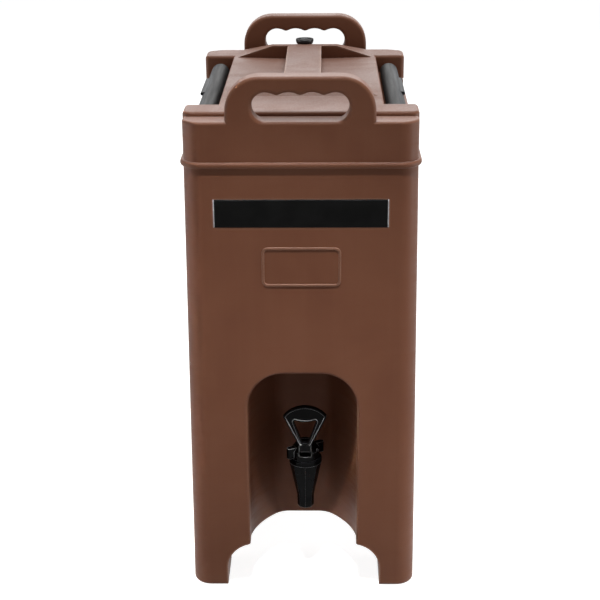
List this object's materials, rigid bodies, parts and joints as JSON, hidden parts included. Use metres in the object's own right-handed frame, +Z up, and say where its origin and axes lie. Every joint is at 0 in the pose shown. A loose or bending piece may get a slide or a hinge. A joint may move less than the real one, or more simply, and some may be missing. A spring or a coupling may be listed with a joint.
{
  "type": "insulated beverage dispenser",
  "caption": "Tall insulated drink dispenser: brown double-wall body with arch grips, latched lid with vent, and a black lever tap in a front niche.",
  "frame": {"origin": "on the floor under the middle of the body", "axes": "+Z up, -Y towards the tap and the label, +X to the right of someone who faces the tap"},
  "size_m": [0.264, 0.426, 0.616],
  "materials": {
    "brown_shell": "satin moulded polyethylene, dark brown",
    "brown_liner": "smooth moulded polyethylene, dark brown",
    "foam": "closed-cell insulating foam, pale cream",
    "grey_latch": "satin nylon, dark grey",
    "steel": "brushed stainless steel",
    "black_gloss": "glossy black plastic",
    "black_plug": "matte black plastic",
    "silicone": "translucent grey silicone",
    "black_seal": "black rubber"
  },
  "bodies": {
    "body": {"body_shell": "brown_shell", "tank_liner": "brown_liner", "body_foam": "foam", "body_foam_plugs": "black_plug", "label_plate": "black_gloss", "latch_bracket_left": "grey_latch", "latch_bracket_right": "grey_latch", "latch_pin_left": "steel", "latch_pin_right": "steel", "latch_screws_left": "steel", "latch_screws_right": "steel", "faucet_body": "black_gloss", "faucet_gasket": "silicone", "faucet_washer": "silicone", "faucet_nut": "black_gloss", "faucet_bonnet": "black_gloss", "faucet_handle_pin": "steel", "faucet_spring": "steel"},
    "lid": {"lid_shell": "brown_shell", "lid_foam": "foam", "lid_foam_plug": "black_plug", "lid_gasket": "black_seal", "vent_bushing": "black_gloss", "vent_nut": "black_gloss"},
    "vent": {"vent_cap": "black_gloss", "vent_seal": "silicone"},
    "latch_left": {"latch_left": "grey_latch"},
    "latch_right": {"latch_right": "grey_latch"},
    "tap_handle": {"faucet_handle": "black_gloss"},
    "tap_stem": {"faucet_stem": "black_gloss", "faucet_seat_cup": "silicone"}
  },
  "joints": [
    {"name": "lid_lift", "type": "slide", "parent": "body", "child": "lid", "axis": [0, 0, 1], "range_m": [0, 0.3]},
    {"name": "latch_left_swing", "type": "hinge", "parent": "body", "child": "latch_left", "pos_m": [-0.1145, 0, 0.533], "axis": [0, -1, 0], "range_deg": [0, 95]},
    {"name": "latch_right_swing", "type": "hinge", "parent": "body", "child": "latch_right", "pos_m": [0.1145, 0, 0.533], "axis": [0, 1, 0], "range_deg": [0, 95]},
    {"name": "vent_cap_lift", "type": "slide", "parent": "lid", "child": "vent", "axis": [0, 0, 1], "range_m": [0, 0.006]},
    {"name": "tap_handle_pull", "type": "hinge", "parent": "body", "child": "tap_handle", "pos_m": [0.0025, -0.1765, 0.165], "axis": [1, 0, 0], "range_deg": [0, 35], "stiffness_Nm_per_rad": 0.25, "springref_deg": -20},
    {"name": "tap_stem_lift", "type": "slide", "parent": "body", "child": "tap_stem", "axis": [0, 0, 1], "range_m": [0, 0.004], "deforming": ["faucet_spring"]}
  ],
  "couplings": [
    {"joint": "tap_stem_lift", "follows": "tap_handle_pull", "m_per_rad": 0.006103}
  ]
}
